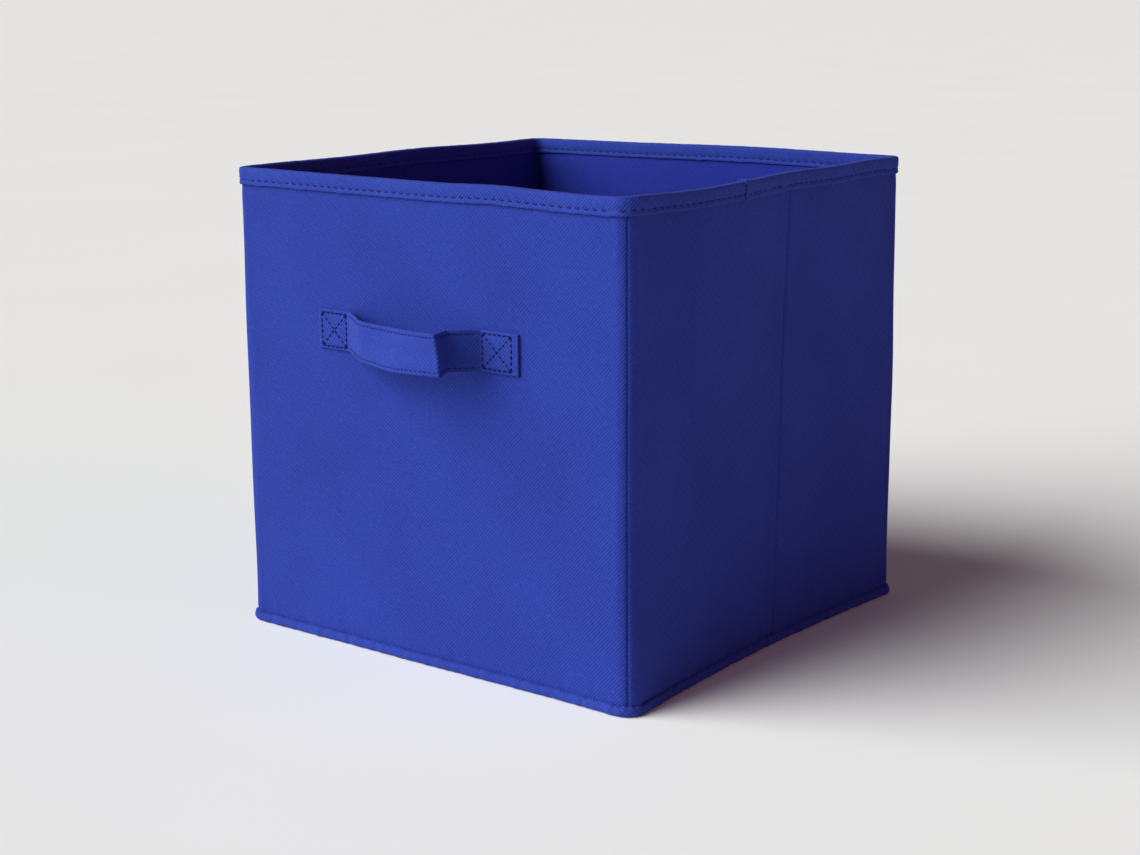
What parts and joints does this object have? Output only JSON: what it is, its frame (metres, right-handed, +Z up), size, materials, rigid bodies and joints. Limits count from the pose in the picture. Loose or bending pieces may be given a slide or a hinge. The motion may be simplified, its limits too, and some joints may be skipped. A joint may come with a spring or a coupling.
{
  "type": "fabric storage bin",
  "caption": "Open-top folding cloth storage cube with stiffened walls, bound rim, piped foot, hinged base board and a strap handle on the front.",
  "frame": {"origin": "on the ground under the middle of the box", "axes": "+X to the right of the front, -Y out of the front face that has the handle, +Z up"},
  "size_m": [0.292, 0.3167, 0.28],
  "materials": {
    "cover_cloth": "matt embossed non-woven polypropylene, royal blue",
    "lining_cloth": "matt embossed non-woven polypropylene, royal blue",
    "binding_tape": "matt folded non-woven tape, royal blue",
    "strap_cloth": "matt folded non-woven strap, royal blue",
    "thread": "navy sewing thread",
    "cardboard": "grey-brown pressed cardboard"
  },
  "bodies": {
    "front": {"front_cover": "cover_cloth", "front_board": "cardboard", "front_lining": "lining_cloth", "front_rim_binding": "binding_tape", "front_bottom_welt": "binding_tape", "handle_tab_left": "strap_cloth", "handle_tab_right": "strap_cloth", "handle_stitching_left": "thread", "handle_stitching_right": "thread", "handle_flex_left": "strap_cloth", "handle_flex_right": "strap_cloth"},
    "back": {"back_cover": "cover_cloth", "back_board": "cardboard", "back_lining": "lining_cloth", "back_rim_binding": "binding_tape", "back_bottom_welt": "binding_tape"},
    "right_front": {"right_front_cover": "cover_cloth", "right_front_board": "cardboard", "right_front_lining": "lining_cloth", "right_front_rim_binding": "binding_tape", "right_front_bottom_welt": "binding_tape", "rim_binding_join": "binding_tape"},
    "right_rear": {"right_rear_cover": "cover_cloth", "right_rear_board": "cardboard", "right_rear_lining": "lining_cloth", "right_rear_rim_binding": "binding_tape", "right_rear_bottom_welt": "binding_tape"},
    "left_front": {"left_front_cover": "cover_cloth", "left_front_board": "cardboard", "left_front_lining": "lining_cloth", "left_front_rim_binding": "binding_tape", "left_front_bottom_welt": "binding_tape"},
    "left_rear": {"left_rear_cover": "cover_cloth", "left_rear_board": "cardboard", "left_rear_lining": "lining_cloth", "left_rear_rim_binding": "binding_tape", "left_rear_bottom_welt": "binding_tape"},
    "floor_front": {"floor_leaf_front": "lining_cloth"},
    "floor_rear": {"floor_leaf_rear": "lining_cloth"},
    "gusset_right_front": {"floor_gusset_right_front": "lining_cloth"},
    "gusset_right_rear": {"floor_gusset_right_rear": "lining_cloth"},
    "gusset_left_front": {"floor_gusset_left_front": "lining_cloth"},
    "gusset_left_rear": {"floor_gusset_left_rear": "lining_cloth"},
    "base_flap": {"base_board": "cardboard", "base_sleeve": "lining_cloth"},
    "handle_loop": {"handle_grip": "strap_cloth"}
  },
  "joints": [
    {"name": "fold", "type": "hinge", "parent": "front", "child": "right_front", "pos_m": [0.1406, -0.1341, 0], "axis": [0, 0, 1], "range_deg": [0, 89], "deforming": ["floor_leaf_front", "floor_leaf_rear", "floor_gusset_right_front", "floor_gusset_right_rear", "floor_gusset_left_front", "floor_gusset_left_rear", "base_board", "base_sleeve"]},
    {"name": "right_crease", "type": "hinge", "parent": "right_front", "child": "right_rear", "pos_m": [0.14615, 0, 0], "axis": [0, 0, 1], "range_deg": [-178, 0]},
    {"name": "right_rear_corner", "type": "hinge", "parent": "right_rear", "child": "back", "pos_m": [0.1406, 0.1341, 0], "axis": [0, 0, 1], "range_deg": [0, 89]},
    {"name": "left_front_corner", "type": "hinge", "parent": "front", "child": "left_front", "pos_m": [-0.1406, -0.1341, 0], "axis": [0, 0, 1], "range_deg": [-89, 0]},
    {"name": "left_rear_corner", "type": "hinge", "parent": "back", "child": "left_rear", "pos_m": [-0.1406, 0.1341, 0], "axis": [0, 0, 1], "range_deg": [0, 89]},
    {"name": "floor_front_crease", "type": "hinge", "parent": "front", "child": "floor_front", "pos_m": [0, -0.1359, 0.0009], "axis": [1, 0, 0], "range_deg": [0, 90]},
    {"name": "floor_rear_crease", "type": "hinge", "parent": "back", "child": "floor_rear", "pos_m": [0, 0.1359, 0.0009], "axis": [1, 0, 0], "range_deg": [-90, 0]},
    {"name": "gusset_right_front_crease", "type": "hinge", "parent": "right_front", "child": "gusset_right_front", "pos_m": [0.1403, 0, 0.0009], "axis": [0, 1, 0], "range_deg": [0, 90]},
    {"name": "gusset_right_rear_crease", "type": "hinge", "parent": "right_rear", "child": "gusset_right_rear", "pos_m": [0.1403, 0, 0.0009], "axis": [0, 1, 0], "range_deg": [0, 90]},
    {"name": "gusset_left_front_crease", "type": "hinge", "parent": "left_front", "child": "gusset_left_front", "pos_m": [-0.1403, 0, 0.0009], "axis": [0, 1, 0], "range_deg": [-90, 0]},
    {"name": "gusset_left_rear_crease", "type": "hinge", "parent": "left_rear", "child": "gusset_left_rear", "pos_m": [-0.1403, 0, 0.0009], "axis": [0, 1, 0], "range_deg": [-90, 0]},
    {"name": "base_flap_hinge", "type": "hinge", "parent": "front", "child": "base_flap", "pos_m": [0, -0.1388, 0.0038], "axis": [1, 0, 0], "range_deg": [0, 90]},
    {"name": "handle_swing", "type": "hinge", "parent": "front", "child": "handle_loop", "pos_m": [0, -0.1425, 0.1906], "axis": [1, 0, 0], "range_deg": [-25, 25], "deforming": ["handle_flex_left", "handle_flex_right"]}
  ],
  "couplings": [
    {"joint": "right_crease", "follows": "fold", "ratio": -2},
    {"joint": "right_rear_corner", "follows": "fold", "ratio": 1},
    {"joint": "left_front_corner", "follows": "fold", "ratio": -1},
    {"joint": "left_rear_corner", "follows": "fold", "ratio": 1},
    {"joint": "floor_front_crease", "follows": "fold", "ratio": 1.0112},
    {"joint": "floor_rear_crease", "follows": "fold", "ratio": -1.0112},
    {"joint": "gusset_right_front_crease", "follows": "fold", "ratio": 1.0112},
    {"joint": "gusset_right_rear_crease", "follows": "fold", "ratio": 1.0112},
    {"joint": "gusset_left_front_crease", "follows": "fold", "ratio": -1.0112},
    {"joint": "gusset_left_rear_crease", "follows": "fold", "ratio": -1.0112},
    {"joint": "base_flap_hinge", "follows": "fold", "ratio": 1.0112}
  ]
}
